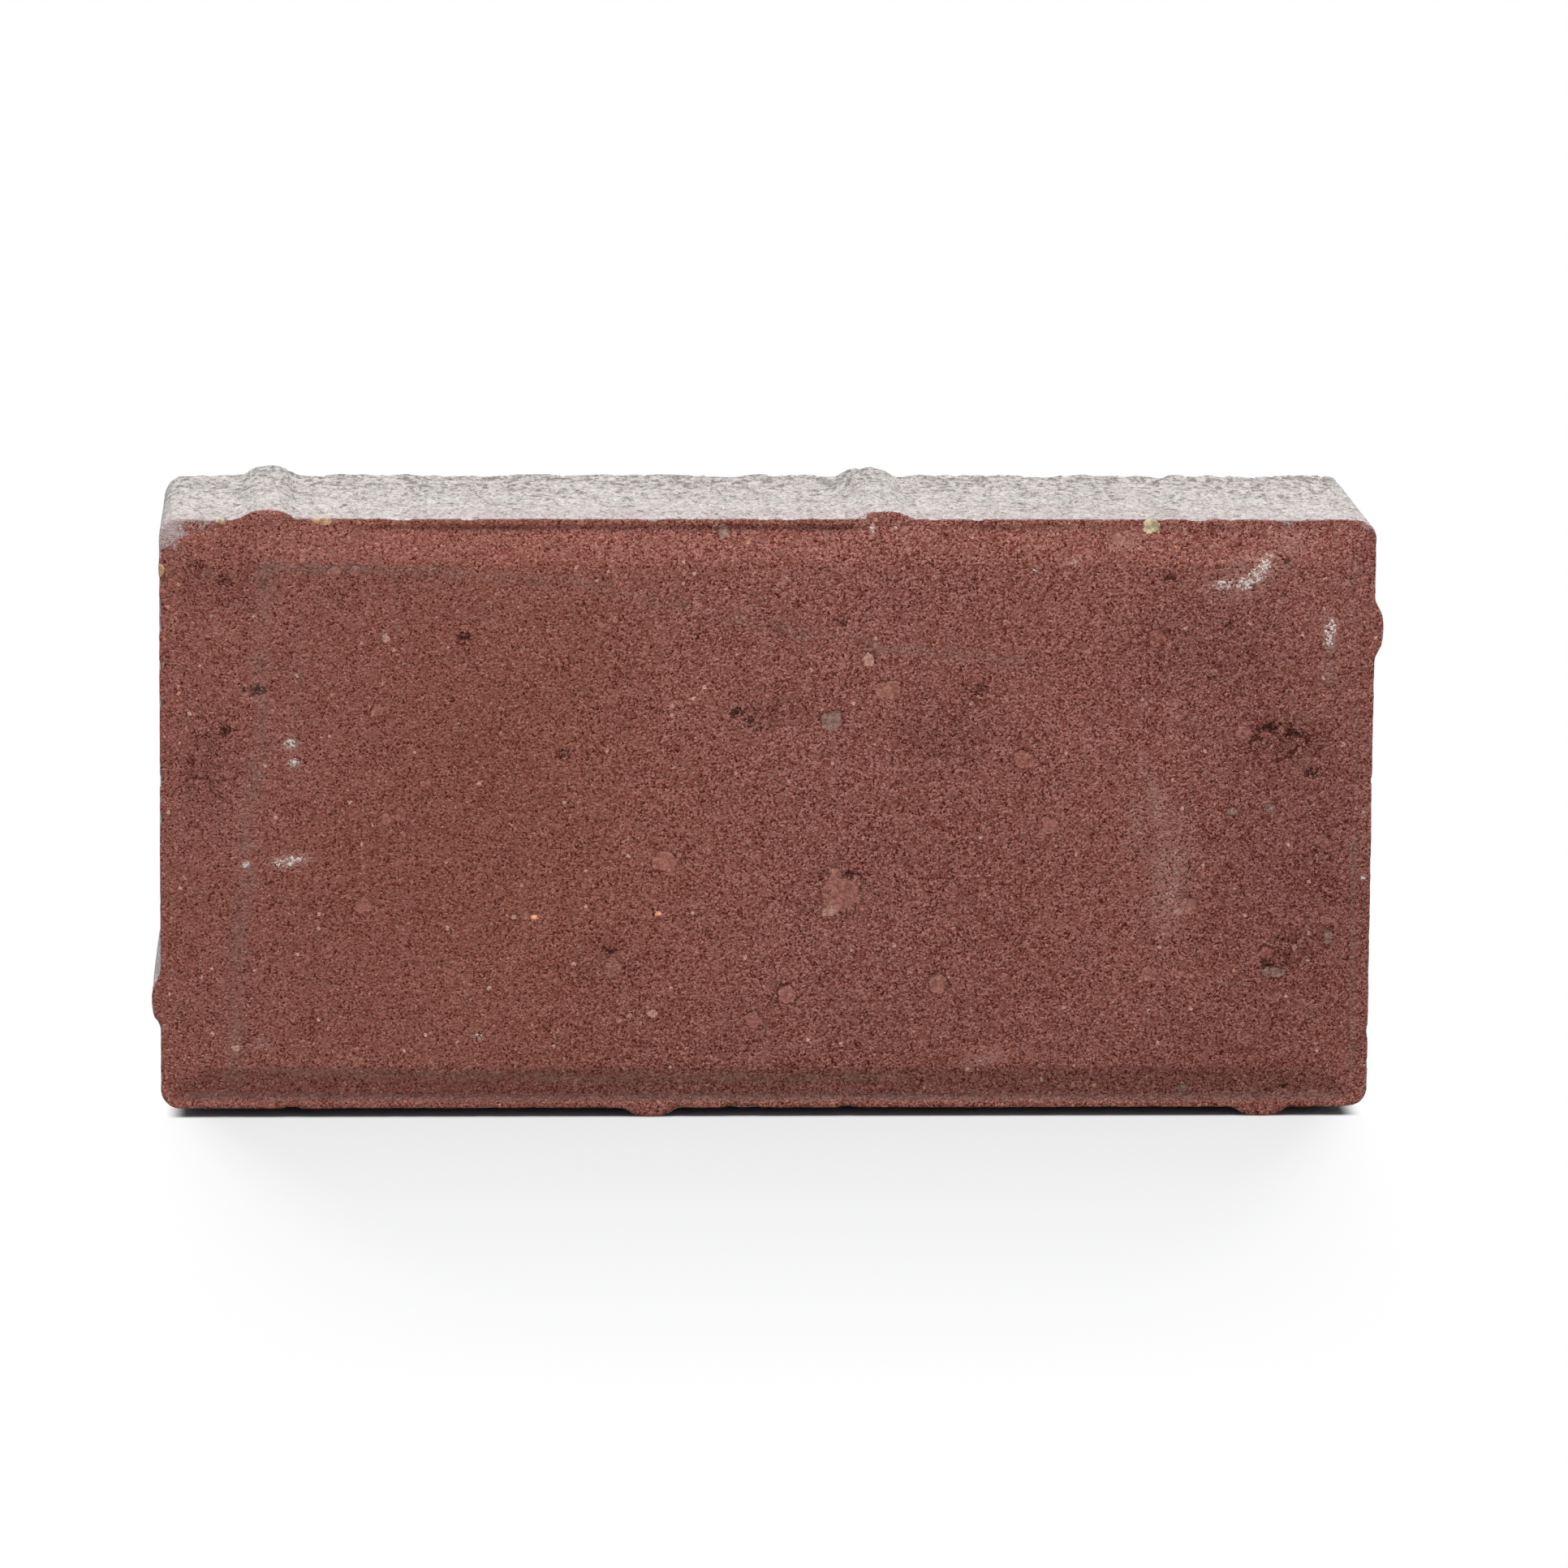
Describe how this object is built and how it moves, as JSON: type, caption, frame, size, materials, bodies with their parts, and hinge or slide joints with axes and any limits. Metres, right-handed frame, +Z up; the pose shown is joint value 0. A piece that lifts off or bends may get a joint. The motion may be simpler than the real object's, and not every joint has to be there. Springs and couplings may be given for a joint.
{
  "type": "concrete paving stone",
  "caption": "Rectangular concrete paving stone with a bevelled red wearing face inside a raised rim, and spacer nibs on its sides, standing on its long side.",
  "frame": {"origin": "on the floor under the middle of the block, between the nib tips that it stands on", "axes": "+X along the length, +Y from the wearing face to the bedding face through the thickness, +Z up"},
  "size_m": [0.21, 0.06, 0.105],
  "materials": {
    "red_concrete": "rough pressed concrete, red at the wearing face and grey behind it"
  },
  "bodies": {
    "root": {"paving_stone": "red_concrete"}
  },
  "joints": []
}
